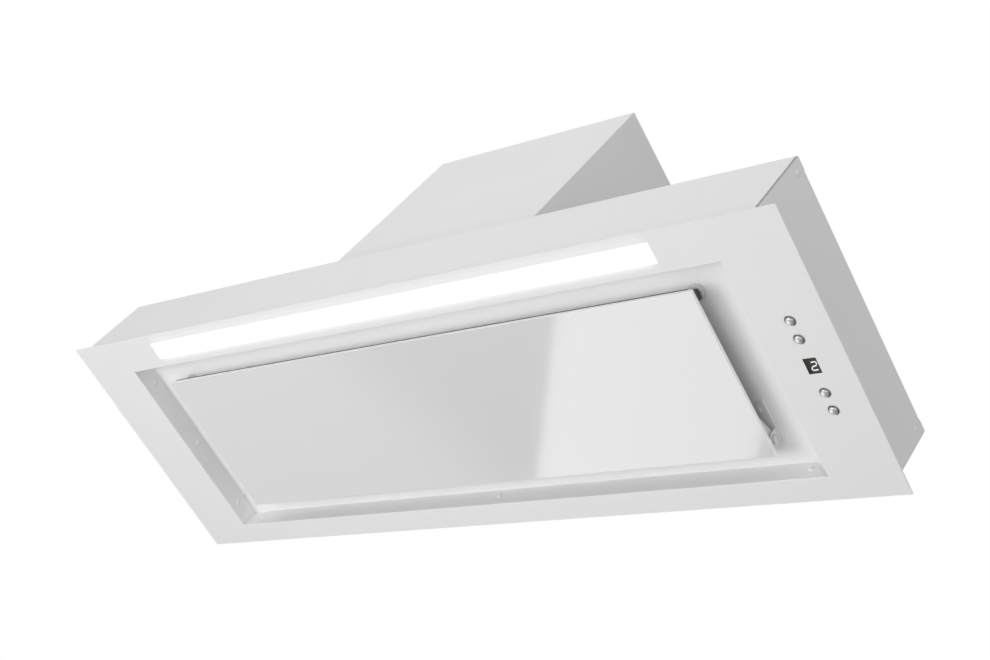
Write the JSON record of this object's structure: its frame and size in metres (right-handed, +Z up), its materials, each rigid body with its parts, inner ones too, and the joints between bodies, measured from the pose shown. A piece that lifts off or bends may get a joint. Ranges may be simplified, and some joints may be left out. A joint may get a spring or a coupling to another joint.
{
  "type": "built-in range hood",
  "caption": "Built-in range hood: a white face panel with a recess, a hinged glass panel over edge suction slots, a light bar, push buttons, a display and a fan box with a round outlet.",
  "frame": {"origin": "centre of the face panel's upper side, the plane that seats against the underside of the cabinet", "axes": "+X towards the controls, along the width; +Y towards the wall behind the hob; +Z up into the cabinet, along the outlet collar"},
  "size_m": [0.796, 0.2465, 0.2932],
  "materials": {
    "white_paint": "smooth satin powder coat",
    "zinc_steel": "zinc plated",
    "carrier_steel": "white primer",
    "aluminium": "mill finish",
    "opal_plastic": "opal diffuser",
    "white_plastic": "moulded",
    "circuit_board": "solder mask",
    "white_glass": "back-painted white, polished",
    "polished_steel": "polished",
    "black_plastic": "moulded",
    "smoked_window": "smoked, polished",
    "grey_plastic": "moulded",
    "bronze": "sintered",
    "rubber": "moulded"
  },
  "bodies": {
    "hood": {"face_panel": "white_paint", "suction_tray": "white_paint", "recess_rivets": "white_paint", "casing_wrap": "white_paint", "casing_side_right": "white_paint", "casing_side_left": "white_paint", "casing_rivets": "white_paint", "motor_box": "white_paint", "motor_box_cover": "white_paint", "motor_box_screws": "zinc_steel", "collar_screws": "zinc_steel", "hinge_pins": "zinc_steel", "hinge_brackets": "white_paint", "motor_bracket": "zinc_steel", "flap_pin": "zinc_steel", "capacitor_clip": "zinc_steel", "light_channel": "aluminium", "filter_frame_left": "aluminium", "filter_frame_right": "aluminium", "filter_mesh_left": "aluminium", "filter_mesh_right": "aluminium", "motor_can": "aluminium", "motor_end_cap": "aluminium", "run_capacitor": "aluminium", "light_diffuser": "opal_plastic", "light_end_caps": "white_plastic", "catch_sockets": "white_plastic", "terminal_box": "white_plastic", "led_driver": "white_plastic", "led_strip": "circuit_board", "control_board": "circuit_board", "button_bezels": "polished_steel", "switch_bodies": "black_plastic", "display_module": "black_plastic", "supply_gland": "black_plastic", "outlet_collar": "black_plastic", "control_cover": "black_plastic", "display_window": "smoked_window", "scroll_left": "grey_plastic", "scroll_right": "grey_plastic", "transition_duct": "grey_plastic", "motor_bushes": "bronze", "motor_mounts": "rubber"},
    "panel": {"glass_panel": "white_glass", "panel_carrier": "carrier_steel", "catch_studs": "black_plastic", "hinge_arms": "zinc_steel"},
    "rotor": {"impeller": "grey_plastic", "fan_shaft": "zinc_steel", "motor_rotor": "zinc_steel", "impeller_nut": "zinc_steel"},
    "front_flap": {"flap_front": "black_plastic"},
    "rear_flap": {"flap_rear": "black_plastic"},
    "light_button": {"button_light": "polished_steel"},
    "minus_button": {"button_minus": "polished_steel"},
    "plus_button": {"button_plus": "polished_steel"},
    "power_button": {"button_power": "polished_steel"},
    "left_latch": {"filter_latch_left": "black_plastic"},
    "right_latch": {"filter_latch_right": "black_plastic"}
  },
  "joints": [
    {"name": "panel_hinge", "type": "hinge", "parent": "hood", "child": "panel", "pos_m": [0, 0.0687, 0.0105], "axis": [1, 0, 0], "range_deg": [0, 80]},
    {"name": "fan_spin", "type": "hinge", "parent": "hood", "child": "rotor", "pos_m": [0, -0.02, 0.15], "axis": [1, 0, 0], "continuous": true},
    {"name": "front_flap_hinge", "type": "hinge", "parent": "hood", "child": "front_flap", "pos_m": [0, 0.02, 0.269], "axis": [-1, 0, 0], "range_deg": [0, 75]},
    {"name": "rear_flap_hinge", "type": "hinge", "parent": "hood", "child": "rear_flap", "pos_m": [0, 0.02, 0.269], "axis": [1, 0, 0], "range_deg": [0, 75]},
    {"name": "light_press", "type": "slide", "parent": "hood", "child": "light_button", "axis": [0, 0, 1], "range_m": [0, 0.001], "stiffness_N_per_m": 400, "springref_m": -0.001},
    {"name": "minus_press", "type": "slide", "parent": "hood", "child": "minus_button", "axis": [0, 0, 1], "range_m": [0, 0.001], "stiffness_N_per_m": 400, "springref_m": -0.001},
    {"name": "plus_press", "type": "slide", "parent": "hood", "child": "plus_button", "axis": [0, 0, 1], "range_m": [0, 0.001], "stiffness_N_per_m": 400, "springref_m": -0.001},
    {"name": "power_press", "type": "slide", "parent": "hood", "child": "power_button", "axis": [0, 0, 1], "range_m": [0, 0.001], "stiffness_N_per_m": 400, "springref_m": -0.001},
    {"name": "left_latch_slide", "type": "slide", "parent": "hood", "child": "left_latch", "axis": [0, 1, 0], "range_m": [0, 0.005], "stiffness_N_per_m": 200, "springref_m": -0.004},
    {"name": "right_latch_slide", "type": "slide", "parent": "hood", "child": "right_latch", "axis": [0, 1, 0], "range_m": [0, 0.005], "stiffness_N_per_m": 200, "springref_m": -0.004}
  ]
}
